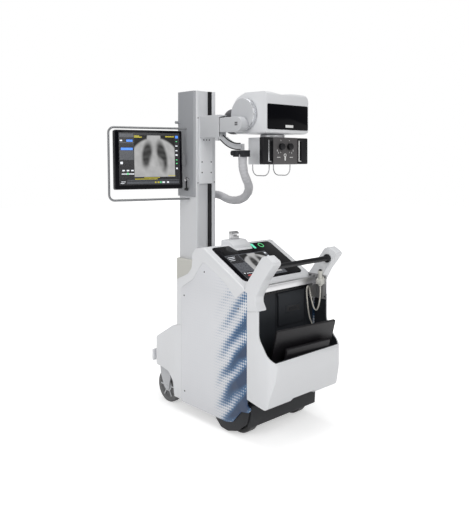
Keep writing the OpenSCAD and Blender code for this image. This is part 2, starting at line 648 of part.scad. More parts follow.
module cable_loop() color(grey) {
    for (k = [-1, 1]) rod_y(loop_x, head_back, loop_out, loop_z + k * loop_bend, loop_r);
    translate([loop_x, loop_out, loop_z]) rotate([0, 90, 0])
        rotate_extrude(angle = 180) translate([loop_bend, 0]) circle(r = loop_r);
}

// Collimator below its swivel ring
col_x = 216;
col_y = -170;
col_top = head_z0 - 22;
col_z0 = col_top - collimator_h;
ring_r = 75;
neck_r = 30;
col_x0 = col_x - collimator_w / 2;
col_x1 = col_x + collimator_w / 2;
col_front = col_y - collimator_d / 2;
col_back = col_y + collimator_d / 2;
module swivel_ring() color(silver) difference() {
    rod_z(col_x, col_y, col_top + face, head_z0, ring_r);
    rod_z(col_x, col_y, col_top, head_z0 - 4, neck_r + run);
}
module collimator_body() color(white) {
    along_z(frame4(col_x0, col_front, col_x1, col_back, 5), col_z0, col_top);
    rod_z(col_x, col_y, col_top - 1, head_z0 - 6, neck_r);
}
panel_plate = 12;
module collimator_panel() color(grey) {
    along_y(frame4(col_x0 + 1, col_z0 + 1, col_x1 - 1, col_top - 1, 5), col_front - panel_plate, col_front);
    for (x = [-44, 30]) rod_y(col_x + x, col_front - panel_plate - 20, col_front - panel_plate, col_z0 + 108, 16);
    rod_y(col_x - 6, col_front - panel_plate - 5, col_front - panel_plate, col_z0 + 42, 9);
}
handle_gap = 28;
grip_w = 38;
handle_out = 20;
handle_y0 = col_front - 16;
handle_y1 = col_front + 14;
module collimator_handle(s) translate([col_x, 0, 0]) difference() {
    along_y(frame4(s > 0 ? collimator_w / 2 + face : -collimator_w / 2 - handle_gap - grip_w - handle_out,
        col_z0 + 2, s > 0 ? collimator_w / 2 + handle_gap + grip_w + handle_out : -collimator_w / 2 - face, col_top - 2, 8),
        handle_y0, handle_y1);
    along_y(frame4(s > 0 ? collimator_w / 2 + 2 : -collimator_w / 2 - handle_gap, col_z0 + 20,
        s > 0 ? collimator_w / 2 + handle_gap : -collimator_w / 2 - 2, col_top - 20, 6), handle_y0 - 1, handle_y1 + 1);
}
module collimator_handles() color(charcoal) for (s = [-1, 1]) collimator_handle(s);
wire_r = 3;
wire_x = 93;
wire_y0 = -232;
wire_y1 = -92;
wire_z = 1398;
wire_bend = 44;
module spacer_wire(x) {
    for (y = [wire_y0, wire_y1]) rod_z(x, y, wire_z + wire_bend, col_z0, wire_r);
    rod_y(x, wire_y0 + wire_bend, wire_y1 - wire_bend, wire_z, wire_r);
    translate([x, wire_y0 + wire_bend, wire_z + wire_bend]) rotate([0, 90, 0]) rotate([0, 0, 270])
        rotate_extrude(angle = 90) translate([wire_bend, 0]) circle(r = wire_r);
    translate([x, wire_y1 - wire_bend, wire_z + wire_bend]) rotate([0, 90, 0])
        rotate_extrude(angle = 90) translate([wire_bend, 0]) circle(r = wire_r);
}
module spacer_wires() color(silver) for (s = [-1, 1]) spacer_wire(col_x + s * wire_x);

// The origin is on the floor below the middle of the whole machine
frame_left = monitor_at[0] - (monitor_w + frame_out) * cos(monitor_turn) - frame_r
    + (monitor_t / 2 * cos(monitor_tilt) - (frame_down - frame_bend) * sin(monitor_tilt)) * sin(monitor_turn);
monitor_back = monitor_at[1] + monitor_w * sin(monitor_turn)
    + (monitor_t * cos(monitor_tilt) + monitor_h / 2 * sin(monitor_tilt)) * cos(monitor_turn);
origin_x = (head_x1 + dome_h + frame_left) / 2;
origin_y = (monitor_back - bin_reach) / 2;
module placed() translate([-origin_x, -origin_y, 0]) children();

placed() chassis();
placed() power_block();
placed() side_panel_left();
placed() side_panel_right();
placed() front_housing();
placed() column_turret();
placed() top_cover();
placed() console_glass();
placed() dock_latch();
placed() rear_bay();
placed() bay_door();
placed() bin();
placed() bin_liner();
placed() handle_arm_left();
placed() handle_arm_right();
placed() handle_bar();
placed() cross_rail();
placed() skirt_left();
placed() skirt_right();
placed() rear_bumper();
placed() detector_large();
placed() detector_small();
placed() switch_holder();
placed() hand_switch();
placed() switch_cord();
placed() drive_wheel_left();
placed() drive_wheel_right();
placed() caster_fork_left();
placed() caster_fork_right();
placed() caster_wheel_left();
placed() caster_wheel_right();
placed() column_mast();
placed() column_cover();
placed() lock_key();
placed() monitor_frame();
placed() monitor();
placed() carriage_plate();
placed() arm_outer();
placed() cable_guide();
placed() hose_clamp();
placed() hose();
placed() arm_inner();
placed() trunnion_disc();
placed() tube_housing();
placed() head_glass();
placed() cable_loop();
placed() swivel_ring();
placed() collimator_body();
placed() collimator_panel();
placed() collimator_handles();
placed() spacer_wires();
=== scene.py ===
# A portable x-ray machine for ward rounds: a white motor-driven cart with a turning
# column, a lifting arm with a tube head, a side monitor and a bin for flat detectors.
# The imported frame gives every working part; the pieces below dress it.
import json
import math

import bmesh
import bpy
from mathutils import Matrix, Vector

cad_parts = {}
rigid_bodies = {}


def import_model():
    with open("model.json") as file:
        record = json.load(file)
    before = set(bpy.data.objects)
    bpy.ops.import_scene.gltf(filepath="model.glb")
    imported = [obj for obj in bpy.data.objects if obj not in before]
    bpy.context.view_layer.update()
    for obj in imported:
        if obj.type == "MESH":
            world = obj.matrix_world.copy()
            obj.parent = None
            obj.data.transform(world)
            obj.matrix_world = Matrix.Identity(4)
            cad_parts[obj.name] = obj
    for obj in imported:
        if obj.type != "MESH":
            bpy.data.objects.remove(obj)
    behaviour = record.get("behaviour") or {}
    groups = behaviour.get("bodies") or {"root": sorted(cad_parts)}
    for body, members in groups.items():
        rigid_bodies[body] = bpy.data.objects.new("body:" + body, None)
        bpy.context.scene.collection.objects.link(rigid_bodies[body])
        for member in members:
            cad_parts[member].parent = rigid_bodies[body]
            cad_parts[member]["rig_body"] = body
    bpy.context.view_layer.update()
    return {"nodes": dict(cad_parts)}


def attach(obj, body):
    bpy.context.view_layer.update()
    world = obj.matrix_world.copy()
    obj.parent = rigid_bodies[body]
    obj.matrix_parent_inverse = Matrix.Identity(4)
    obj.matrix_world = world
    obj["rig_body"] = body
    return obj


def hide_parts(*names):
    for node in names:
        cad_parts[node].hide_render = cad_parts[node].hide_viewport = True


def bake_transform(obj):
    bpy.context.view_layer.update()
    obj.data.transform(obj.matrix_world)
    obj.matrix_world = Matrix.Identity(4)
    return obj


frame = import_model()


# Camera
# The photograph is taken from behind the machine's left corner, level, at chest
# height. The shift puts the horizon where the photograph's frame has it.
centre_x, centre_y = 73.835, 100.343


def at(x, y, z):
    """A point given in millimetres from the cart's centre plane, in the row frame."""
    return Vector(((x + centre_x) / 1000, (y + centre_y) / 1000, z / 1000))


camera = bpy.data.cameras.new("camera")
camera.sensor_width = 36
camera.lens = 44.06
camera.shift_x, camera.shift_y = 0.0094, -0.1895
camera.clip_end = 60
view = bpy.data.objects.new("camera", camera)
view.location = at(-2614, -2841, 1494)
view.rotation_euler = (math.radians(90), 0, math.radians(-42.783))
bpy.context.scene.collection.objects.link(view)
bpy.context.scene.camera = view
bpy.context.scene.view_settings.view_transform = "Standard"


# Main hose
# A pale grey fabric-wrapped cable hose, 50 mm thick. It leaves the clamp under the
# arm, sags round the right side of the column and goes into the gland there.
def group(name, inputs, outputs):
    """A new shader node group with its inputs (name, kind, value) and outputs (name, kind)."""
    tree = bpy.data.node_groups.new(name, "ShaderNodeTree")
    for label, kind, value in inputs:
        tree.interface.new_socket(label, in_out="INPUT", socket_type=kind).default_value = value
    for label, kind in outputs:
        tree.interface.new_socket(label, in_out="OUTPUT", socket_type=kind)
    return tree, tree.nodes.new("NodeGroupInput"), tree.nodes.new("NodeGroupOutput")


def node(tree, kind, **settings):
    """Adds a node; a setting is a property of the node or the name of an input."""
    made = tree.nodes.new(kind)
    for key, value in settings.items():
        if hasattr(made, key):
            setattr(made, key, value)
        else:
            made.inputs[key.replace("_", " ")].default_value = value
    return made


def reckon(tree, operation, *values):
    """A Math node whose inputs are numbers or sockets; gives back its output."""
    made = node(tree, "ShaderNodeMath", operation=operation)
    for socket, value in zip(made.inputs, values):
        if isinstance(value, (int, float)):
            socket.default_value = value
        else:
            tree.links.new(value, socket)
    return made.outputs[0]


def handled_surface():
    """Slow changes of tone and gloss over a face, with a little dust low down."""
    tree, came, out = group("handled surface", [
        ("Colour", "NodeSocketColor", (0.8, 0.8, 0.8, 1)), ("Dust", "NodeSocketColor", (0.4, 0.39, 0.37, 1)),
        ("Patch", "NodeSocketFloat", 5.0), ("Change", "NodeSocketFloat", 0.04),
        ("Gloss", "NodeSocketFloat", 0.4), ("Scuffs", "NodeSocketFloat", 0.1)],
        [("Colour", "NodeSocketColor"), ("Roughness", "NodeSocketFloat")])
    link = tree.links.new
    place = node(tree, "ShaderNodeTexCoord")
    slow = node(tree, "ShaderNodeTexNoise", Detail=3.0, Roughness=0.55)
    link(place.outputs["Object"], slow.inputs["Vector"])
    link(came.outputs["Patch"], slow.inputs["Scale"])
    fine = node(tree, "ShaderNodeTexNoise", Scale=90.0, Detail=6.0, Roughness=0.7)
    link(place.outputs["Object"], fine.inputs["Vector"])
    off_centre = reckon(tree, "SUBTRACT", slow.outputs["Fac"], 0.5)
    shade = reckon(tree, "MULTIPLY_ADD", off_centre, came.outputs["Change"], 1.0)
    tone = node(tree, "ShaderNodeVectorMath", operation="SCALE")
    link(came.outputs["Colour"], tone.inputs[0])
    link(shade, tone.inputs["Scale"])
    height = node(tree, "ShaderNodeSeparateXYZ")
    link(place.outputs["Object"], height.inputs[0])
    low = node(tree, "ShaderNodeMapRange", From_Min=0.18, From_Max=0.02, To_Min=0.0, To_Max=0.3)
    link(height.outputs["Z"], low.inputs["Value"])
    speck = reckon(tree, "MULTIPLY", low.outputs[0], fine.outputs["Fac"])
    mix = node(tree, "ShaderNodeMix", data_type="RGBA")
    link(speck, mix.inputs["Factor"])
    link(tone.outputs[0], mix.inputs[6])
    link(came.outputs["Dust"], mix.inputs[7])
    link(mix.outputs[2], out.inputs["Colour"])
    link(reckon(tree, "MULTIPLY_ADD", fine.outputs["Fac"], came.outputs["Scuffs"], came.outputs["Gloss"]),
         out.inputs["Roughness"])
    return tree


def fine_grain():
    """The height of a fine moulded or painted grain, for a Bump node."""
    tree, came, out = group("fine grain", [("Size", "NodeSocketFloat", 700.0),
                                           ("Stretch", "NodeSocketVector", (1, 1, 1))],
                            [("Height", "NodeSocketFloat")])
    place = node(tree, "ShaderNodeTexCoord")
    scaled = node(tree, "ShaderNodeVectorMath", operation="MULTIPLY")
    tree.links.new(place.outputs["Object"], scaled.inputs[0])
    tree.links.new(came.outputs["Stretch"], scaled.inputs[1])
    grain = node(tree, "ShaderNodeTexNoise", Detail=4.0, Roughness=0.6)
    tree.links.new(scaled.outputs[0], grain.inputs["Vector"])
    tree.links.new(came.outputs["Size"], grain.inputs["Scale"])
    tree.links.new(grain.outputs["Fac"], out.inputs["Height"])
    return tree


surface_group = handled_surface()
grain_group = fine_grain()


def finish(name, colour, gloss=0.4, scuffs=0.1, change=0.05, patch=5.0, grain=700.0, depth=0.1, bump=0.0004,
           stretch=(1, 1, 1), metal=0.0, coat=0.0, level=0.5):
    """A material with the shared surface and grain, and its own constants on the shader."""
    made = bpy.data.materials.new(name)
    made.use_nodes = True
    tree = made.node_tree
    shader = tree.nodes["Principled BSDF"]
    face = node(tree, "ShaderNodeGroup", node_tree=surface_group)
    face.name = "face"
    face.inputs["Colour"].default_value = (*colour, 1)
    face.inputs["Dust"].default_value = (*[0.6 * c + 0.16 for c in colour], 1)
    face.inputs["Patch"].default_value = patch
    face.inputs["Change"].default_value = change
    face.inputs["Gloss"].default_value = gloss
    face.inputs["Scuffs"].default_value = scuffs
    pores = node(tree, "ShaderNodeGroup", node_tree=grain_group)
    pores.inputs["Size"].default_value = grain
    pores.inputs["Stretch"].default_value = stretch
    raised = node(tree, "ShaderNodeBump", Strength=depth, Distance=bump)
    tree.links.new(pores.outputs["Height"], raised.inputs["Height"])
    tree.links.new(face.outputs["Colour"], shader.inputs["Base Color"])
    tree.links.new(face.outputs["Roughness"], shader.inputs["Roughness"])
    tree.links.new(raised.outputs["Normal"], shader.inputs["Normal"])
    shader.inputs["Metallic"].default_value = metal
    shader.inputs["Coat Weight"].default_value = coat
    shader.inputs["Coat Roughness"].default_value = 0.12
    shader.inputs["Specular IOR Level"].default_value = level
    return made


def smooth_path(points, per_span=6):
    """Catmull-Rom points through the route."""
    route = [Vector(p) for p in points]
    ends = [2 * route[0] - route[1]] + route + [2 * route[-1] - route[-2]]
    path = []
    for a, b, c, d in zip(ends, ends[1:], ends[2:], ends[3:]):
        for k in range(per_span):
            t = k / per_span
            path.append(0.5 * (2 * b + (c - a) * t + (2 * a - 5 * b + 4 * c - d) * t * t
                               + (3 * b - a - 3 * c + d) * t ** 3))
    return path + [route[-1]]


def keep(bm, name, material, smooth=35.0):
    """Ends a bmesh drawn in the cart's millimetres as an object at the origin."""
    mesh = bpy.data.meshes.new(name)
    bmesh.ops.transform(bm, matrix=Matrix.Translation(at(0, 0, 0)) @ Matrix.Scale(0.001, 4), verts=bm.verts)
    bmesh.ops.recalc_face_normals(bm, faces=bm.faces)
    for edge in bm.edges:
        edge.smooth = len(edge.link_faces) != 2 or edge.calc_face_angle(0) < math.radians(smooth)
    for face in bm.faces:
        face.smooth = True
    bm.to_mesh(mesh)
    bm.free()
    for each in (material if isinstance(material, (list, tuple)) else [material]):
        mesh.materials.append(each)
    made = bpy.data.objects.new(name, mesh)
    bpy.context.scene.collection.objects.link(made)
    return made


def sweep(path, radius, sides=20, swell=None):
    """A tube along a path: a ring of vertices is spun, carried along and bridged."""
    bm = bmesh.new()
    along = bm.verts.layers.float.new("along")
    normal = Vector((1, 0, 0)) if abs((path[1] - path[0]).normalized().x) < 0.9 else Vector((0, 0, 1))
    last, run = None, 0.0
    for i, p in enumerate(path):
        way = (path[min(i + 1, len(path) - 1)] - path[max(i - 1, 0)]).normalized()
        normal = (normal - normal.dot(way) * way).normalized()
        run += (p - path[i - 1]).length if i else 0.0
        r = radius * (swell(run) if swell else 1.0)
        place = Matrix.Translation(p) @ Matrix((normal, way.cross(normal), way)).transposed().to_4x4()
        ring = bmesh.ops.create_circle(bm, segments=sides, radius=r, matrix=place)["verts"]
        for v in ring:
            v[along] = run / 1000
        joined = {e for v in ring for e in v.link_edges}
        edges = [e for e in joined if e.verts[0] in ring and e.verts[1] in ring]
        if last:
            bmesh.ops.bridge_loops(bm, edges=last + edges)
        last = edges
    bmesh.ops.holes_fill(bm, edges=[e for e in bm.edges if len(e.link_faces) == 1], sides=sides)
    return bm


def wrapped(name, colour, pitch):
    """Woven wrap in a slow spiral, read from the piece's own length attribute."""
    made = finish(name, colour, 0.62, 0.15, grain=900, depth=0.4)
    tree = made.node_tree
    along = node(tree, "ShaderNodeAttribute", attribute_name="along")
    turns = reckon(tree, "SINE", reckon(tree, "MULTIPLY", along.outputs["Fac"], 2 * math.pi / pitch))
    rib = node(tree, "ShaderNodeBump", Strength=0.55, Distance=0.0016)
    tree.links.new(turns, rib.inputs["Height"])
    shader = tree.nodes["Principled BSDF"]
    tree.links.new(shader.inputs["Normal"].links[0].from_socket, rib.inputs["Normal"])
    tree.links.new(rib.outputs["Normal"], shader.inputs["Normal"])
    return made


def hose_swell(s):
    """The slow unevenness of the wrap, s millimetres along the hose."""
    return 1.0 + 0.025 * math.sin(s * 0.09) + 0.015 * math.sin(s * 0.031)


hose_radius = 24.8
hose_path = smooth_path([
    (-63, -196, 1532), (-63, -196, 1500), (-63, -198, 1460), (-56, -200, 1420), (-34, -196, 1382),
    (0, -180, 1346), (34, -146, 1312), (64, -92, 1276), (86, -30, 1252), (106, 40, 1240),
    (126, 106, 1238), (146, 166, 1242), (160, 216, 1252), (160, 256, 1262), (142, 282, 1268),
    (116, 290, 1270), (88, 290, 1270)])
hose_grey = wrapped("wrapped hose", (0.54, 0.54, 0.56), 0.018)
hose = keep(sweep(hose_path, hose_radius, 24, hose_swell), "main_hose", hose_grey, 80)
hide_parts("hose")
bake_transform(hose)


# Cord of the hand switch
# A thin cream cord: it leaves the switch's foot, makes two loose loops beside the
# rear bay and goes into the bay's wall.
cord_radius = 4.0
cord_path = smooth_path([
    (207, -554, 775.7), (207, -554, 740), (207, -550, 700), (208, -540, 660), (211, -522, 632),
    (215, -500, 640), (219, -480, 680), (221, -468, 715), (220, -463, 742), (213, -461, 758),
    (202, -461, 758), (196, -462, 740), (195, -464, 712), (197, -467, 670), (202, -468, 630),
    (212, -467, 592), (226, -466, 560), (243, -464, 536), (255, -457, 520), (258, -440.4, 512)], 4)
cord_rubber = finish("cream cord", (0.66, 0.64, 0.58), 0.5, 0.1, grain=1500, depth=0.2)
switch_cord = keep(sweep(cord_path, cord_radius, 12), "switch_lead", cord_rubber, 80)
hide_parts("switch_cord")
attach(switch_cord, "cart")


# Floor and light
# A white studio floor that runs out to a white background, one wide soft lamp high
# behind the camera, one on the monitor side and a soft one overhead.
def studio_white():
    """White paint that glows for the camera, fully so away from the machine."""
    made = bpy.data.materials.new("studio floor")
    made.use_nodes = True
    tree = made.node_tree
    shader = tree.nodes["Principled BSDF"]
    shader.inputs["Base Color"].default_value = (0.86, 0.86, 0.86, 1)
    shader.inputs["Roughness"].default_value = 0.9
    shader.inputs["Specular IOR Level"].default_value = 0.0
    seen = node(tree, "ShaderNodeLightPath")
    either = reckon(tree, "MAXIMUM", seen.outputs["Is Camera Ray"], seen.outputs["Is Glossy Ray"])
    place = node(tree, "ShaderNodeTexCoord")
    away = node(tree, "ShaderNodeVectorMath", operation="LENGTH")
    tree.links.new(place.outputs["Object"], away.inputs[0])
    lift = node(tree, "ShaderNodeMapRange", From_Min=0.5, From_Max=2.6, To_Min=0.50, To_Max=1.0)
    tree.links.new(away.outputs["Value"], lift.inputs["Value"])
    shader.inputs["Emission Color"].default_value = (1, 1, 1, 1)
    tree.links.new(reckon(tree, "MULTIPLY", either, lift.outputs[0]), shader.inputs["Emission Strength"])
    return made


bm = bmesh.new()
bmesh.ops.create_grid(bm, x_segments=1, y_segments=1, size=16000.0)
bmesh.ops.translate(bm, verts=bm.verts, vec=(0, 0, -0.5))
keep(bm, "floor", studio_white())

world = bpy.data.worlds.new("studio")
bpy.context.scene.world = world
world.use_nodes = True
tree = world.node_tree
backdrop = tree.nodes["Background"]
seen = node(tree, "ShaderNodeLightPath")
either = reckon(tree, "MAXIMUM", seen.outputs["Is Camera Ray"], seen.outputs["Is Transmission Ray"])
level = node(tree, "ShaderNodeMapRange", To_Min=0.36, To_Max=1.0)
tree.links.new(either, level.inputs["Value"])
tree.links.new(level.outputs[0], backdrop.inputs["Strength"])
backdrop.inputs["Color"].default_value = (1, 1, 1, 1)


def soft_lamp(name, place, aim, size, watts):
    """A round lamp that points at a place; all in metres."""
    lamp = bpy.data.lights.new(name, "AREA")
    lamp.shape = "DISK"
    lamp.size = size
    lamp.energy = watts
    holder = bpy.data.objects.new(name, lamp)
    holder.location = place
    holder.rotation_euler = (Vector(aim) - Vector(place)).to_track_quat("-Z", "Y").to_euler()
    bpy.context.scene.collection.objects.link(holder)


soft_lamp("key", (-1.2, -4.2, 3.4), (0, 0, 0.9), 2.6, 72)
soft_lamp("monitor side", (-4.0, -0.6, 2.6), (0, 0, 1.0), 2.4, 46)
soft_lamp("overhead", (0.2, 0.6, 4.4), (0, 0, 0.8), 2.8, 56)


# Side panels
# Thin moulded panels in satin white lacquer, screwed on at their corners. Towards the
# rear they carry a plain printed field of blue dots that fades out forwards.
def drawn(outline, axis, low, high, rim=0.0, steps=2, soft=5):
    """A face through corner points (a, b, radius), its corners rounded, extruded along
    an axis from low to high, its rims rounded. All in the cart's millimetres."""
    bm = bmesh.new()
    place = {"x": lambda a, b: (low, a, b), "y": lambda a, b: (a, low, b),
             "z": lambda a, b: (a, b, low)}[axis]
    corners = [bm.verts.new(place(*p[:2])) for p in outline]
    bm.faces.new(corners)
    for v, p in zip(corners, outline):
        if len(p) > 2 and p[2]:
            a, b = [e.other_vert(v).co - v.co for e in v.link_edges]
            reach = min(p[2] / math.tan(a.angle(b) / 2), 0.48 * a.length, 0.48 * b.length)
            bmesh.ops.bevel(bm, geom=[v], offset=reach, offset_type="OFFSET", segments=soft, profile=0.5,
                            affect="VERTICES", material=-1)
    way = {"x": Vector((1, 0, 0)), "y": Vector((0, 1, 0)), "z": Vector((0, 0, 1))}[axis]
    grown = [g for g in bmesh.ops.extrude_face_region(bm, geom=list(bm.faces))["geom"]
             if isinstance(g, bmesh.types.BMVert)]
    bmesh.ops.translate(bm, verts=grown, vec=way * (high - low))
    bmesh.ops.recalc_face_normals(bm, faces=bm.faces)
    return eased(bm, rim, steps, 50) if rim else bm


def eased(bm, width, steps=2, sharper=30.0, where=None):
    """Rounds the sharp edges of a piece, all of them or those where the test says so."""
    chosen = [e for e in bm.edges if len(e.link_faces) == 2 and e.calc_face_angle(0) > math.radians(sharper)
              and (where is None or where((e.verts[0].co + e.verts[1].co) / 2))]
    bmesh.ops.bevel(bm, geom=chosen, offset=width, offset_type="OFFSET", segments=steps, profile=0.5,
                    affect="EDGES", material=-1, clamp_overlap=True)
    return bm


def oblong(a0, b0, a1, b1, radius):
    """The corner points of an oblong with round corners, for drawn."""
    return [(a0, b0, radius), (a1, b0, radius), (a1, b1, radius), (a0, b1, radius)]


def block(low, high, rim=0.0, steps=2):
    """A cube stretched between two corners, with rounded edges."""
    bm = bmesh.new()
    bmesh.ops.create_cube(bm, size=1.0)
    bmesh.ops.scale(bm, verts=bm.verts, vec=[b - a for a, b in zip(low, high)])
    bmesh.ops.translate(bm, verts=bm.verts, vec=[(a + b) / 2 for a, b in zip(low, high)])
    return eased(bm, rim, steps) if rim else bm


def turned(profile, axis, centre, rim=0.0, steps=40):
    """A profile of (radius, height) points spun about an axis through a centre."""
    bm = bmesh.new()
    line = [bm.verts.new((r, 0, h)) for r, h in profile]
    edges = [bm.edges.new(pair) for pair in zip(line, line[1:])]
    bmesh.ops.spin(bm, geom=line + edges, angle=2 * math.pi, steps=steps, axis=(0, 0, 1), cent=(0, 0, 0),
                   use_merge=True)
    bmesh.ops.remove_doubles(bm, verts=bm.verts, dist=0.001)
    bmesh.ops.recalc_face_normals(bm, faces=bm.faces)
    if rim:
        eased(bm, rim, 2, 40)
    lay = {"x": Matrix.Rotation(math.pi / 2, 4, "Y"), "y": Matrix.Rotation(-math.pi / 2, 4, "X"),
           "z": Matrix.Identity(4)}[axis]
    bmesh.ops.transform(bm, matrix=Matrix.Translation(centre) @ lay, verts=bm.verts)
    return bm


def together(*parts):
    """Several worked pieces as one."""
    for other in parts[1:]:
        mesh = bpy.data.meshes.new("worked")
        other.to_mesh(mesh)
        other.free()
        parts[0].from_mesh(mesh)
        bpy.data.meshes.remove(mesh)
    return parts[0]


def screws(radius, height, axis, places, rim=0.4, sides=16):
    """Flat screw heads of one size as one piece."""
    head = [(0, 0), (radius, 0), (radius, height), (0, height)]
    return together(*[turned(head, axis, place, rim, sides) for place in places])


def softened(name, width, steps=2, sharper=35.0):
    """A merged copy of a CAD node with its sharp edges rounded."""
    bm = bmesh.new()
    bm.from_mesh(frame["nodes"][name].data)
    back = Matrix.Scale(1000, 4) @ Matrix.Translation(-at(0, 0, 0))
    bmesh.ops.transform(bm, matrix=back, verts=bm.verts)
    bmesh.ops.remove_doubles(bm, verts=bm.verts, dist=0.01)
    bmesh.ops.dissolve_limit(bm, angle_limit=math.radians(0.6), verts=bm.verts, edges=bm.edges)
    return eased(bm, width, steps, sharper)


def stand_in(made, name):
    """A dressed piece takes the place of its CAD node and moves with the same body."""
    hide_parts(name)
    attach(made, body_of[name])
    return made


def dress(material, *names):
    """Gives CAD nodes whose shape is right their finish."""
    for name in names:
        frame["nodes"][name].data.materials.clear()
        frame["nodes"][name].data.materials.append(material)


body_of = {name: piece["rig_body"] for name, piece in frame["nodes"].items()}
half_width, panel_thick = 285, 8
panel_line = [(100, 733.7), (-10, 800.7, 40), (-100, 914.7, 25), (-272, 827.7, 30), (-372, 746.7, 12),
              (-440, 799.7), (-458, 786, 4), (-458, 196, 10), (-489, 180, 8), (-470, 158, 12),
              (-414, 149, 20), (-345, 74, 30), (-300, 62, 30), (100, 62, 6)]


def blue_print():
    """A plain field of dots: deep blue low at the rear, paler and smaller up and forwards."""
    tree, came, out = group("dot field", [("Strength", "NodeSocketFloat", 1.0)],
                            [("Colour", "NodeSocketColor"), ("Mask", "NodeSocketFloat")])
    place = node(tree, "ShaderNodeTexCoord")
    apart = node(tree, "ShaderNodeSeparateXYZ")
    tree.links.new(place.outputs["Object"], apart.inputs[0])
    wave = node(tree, "ShaderNodeTexWave", wave_type="BANDS", bands_direction="DIAGONAL", Scale=4.6,
                Distortion=2.4, Detail=1.0)
    tree.links.new(place.outputs["Object"], wave.inputs["Vector"])
    forward = node(tree, "ShaderNodeMapRange", From_Min=-0.35, From_Max=-0.08, To_Min=1.2, To_Max=0.0)
    tree.links.new(apart.outputs["Y"], forward.inputs["Value"])
    upward = node(tree, "ShaderNodeMapRange", From_Min=0.25, From_Max=0.95, To_Min=1.0, To_Max=0.1)
    tree.links.new(apart.outputs["Z"], upward.inputs["Value"])
    spread = reckon(tree, "MULTIPLY", forward.outputs[0], upward.outputs[0])
    tide = reckon(tree, "MULTIPLY", spread, reckon(tree, "MULTIPLY_ADD", wave.outputs["Fac"], 0.62, 0.42))
    dots = node(tree, "ShaderNodeTexVoronoi", feature="F1", Scale=62.0, Randomness=0.0)
    tree.links.new(place.outputs["Object"], dots.inputs["Vector"])
    inside = reckon(tree, "SUBTRACT", reckon(tree, "MULTIPLY", tide, 1.25), dots.outputs["Distance"])
    edge = node(tree, "ShaderNodeMapRange", From_Min=-0.16, From_Max=0.16)
    tree.links.new(inside, edge.inputs["Value"])
    tree.links.new(reckon(tree, "MULTIPLY", edge.outputs[0], came.outputs["Strength"]), out.inputs["Mask"])
    shades = node(tree, "ShaderNodeValToRGB")
    shades.color_ramp.elements[0].color = (0.38, 0.47, 0.58, 1)
    shades.color_ramp.elements[1].color = (0.008, 0.035, 0.10, 1)
    shades.color_ramp.elements[1].position = 0.75
    middle = shades.color_ramp.elements.new(0.35)
    middle.color = (0.05, 0.16, 0.33, 1)
    tree.links.new(tide, shades.inputs["Fac"])
    tree.links.new(shades.outputs["Color"], out.inputs["Colour"])
    return tree


white_lacquer = finish("white lacquer", (0.80, 0.81, 0.83), 0.30, 0.10, coat=0.15)
printed_lacquer = finish("printed lacquer", (0.79, 0.80, 0.83), 0.30, 0.10, coat=0.15)
tree = printed_lacquer.node_tree
dot_field = node(tree, "ShaderNodeGroup", node_tree=blue_print())
inked = node(tree, "ShaderNodeMix", data_type="RGBA")
tree.links.new(dot_field.outputs["Mask"], inked.inputs["Factor"])
tree.links.new(tree.nodes["face"].outputs["Colour"], inked.inputs[6])
tree.links.new(dot_field.outputs["Colour"], inked.inputs[7])
tree.links.new(inked.outputs[2], tree.nodes["Principled BSDF"].inputs["Base Color"])
dark_screw = finish("blackened screw", (0.05, 0.05, 0.055), 0.4, 0.2, metal=0.6)
for side, low in (("left", -half_width), ("right", half_width - panel_thick)):
    shell = drawn(panel_line, "x", low, low + panel_thick, 1.6)
    stand_in(keep(shell, "side_shell_" + side, printed_lacquer), "side_panel_" + side)
    out = -half_width - 0.6 if side == "left" else half_width - 0.8
    heads = screws(5, 1.4, "x", [(out, y, z) for y, z in ((-112, 857), (71, 695), (66, 133), (-392, 696))])
    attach(keep(heads, "panel_screws_" + side, dark_screw), "cart")


# Top cover and console
# One white moulding makes the shoulder and the sloping deck; a black glass sheet is
# sunk into it, with the touch screen, a lamp and a ringed button behind it.
deck_y, deck_z = -100, 994
cover_line = [(100, 734.3), (-10, 801.3, 40), (-100, 915.3, 25), (-272, 828.3, 30), (-372, 747.3, 12),
              (-440, 800.3), (-430, 815, 6), (deck_y, deck_z, 30), (-29, 982, 20), (-1, 948, 30),
              (5, 867, 30), (41, 827, 40), (143, 782, 8), (143, 508), (100.3, 517.2)]


def upper(c):
    """True where a point is clear above the seam with the side panels, or far forward."""
    seam = [(143, 700), (100, 734), (-10, 801), (-100, 915), (-272, 828), (-372, 747), (-440, 800)]
    for (y0, z0), (y1, z1) in zip(seam, seam[1:]):
        if y1 <= c.y <= y0:
            return c.z > z0 + (z1 - z0) * (y0 - c.y) / (y0 - y1) + 4
    return c.y > 120


cover = drawn(cover_line, "x", -half_width, half_width)
eased(cover, 11, 4, 50, lambda c: upper(c) and c.z > 520 or c.y > 142)
boss = drawn([(-146, 930), (-138, 990, 8), (-96, 1016, 26), (-28, 1016, 10), (-28, 930)], "x", -84, 60)
eased(boss, 13, 4, 50, lambda c: c.z > 960)
stand_in(keep(together(cover, boss), "top_shell", white_lacquer), "top_cover")
slope = math.atan2(deck_z - 815, deck_y + 430)


def on_deck(bm, lift=0.0):
    """Lays a piece drawn flat, +Y up the slope, on the console's deck."""
    down = Matrix.Translation((0, deck_y, deck_z)) @ Matrix.Rotation(slope, 4, "X")
    bmesh.ops.transform(bm, matrix=down @ Matrix.Translation((0, 0, lift)), verts=bm.verts)
    return bm


def glow(name, colour, strength, gloss=0.25):
    """A lit part behind glass."""
    made = finish(name, colour, gloss, 0.05, change=0.0, depth=0.0)
    shader = made.node_tree.nodes["Principled BSDF"]
    shader.inputs["Emission Color"].default_value = (*colour, 1)
    shader.inputs["Emission Strength"].default_value = strength
    return made


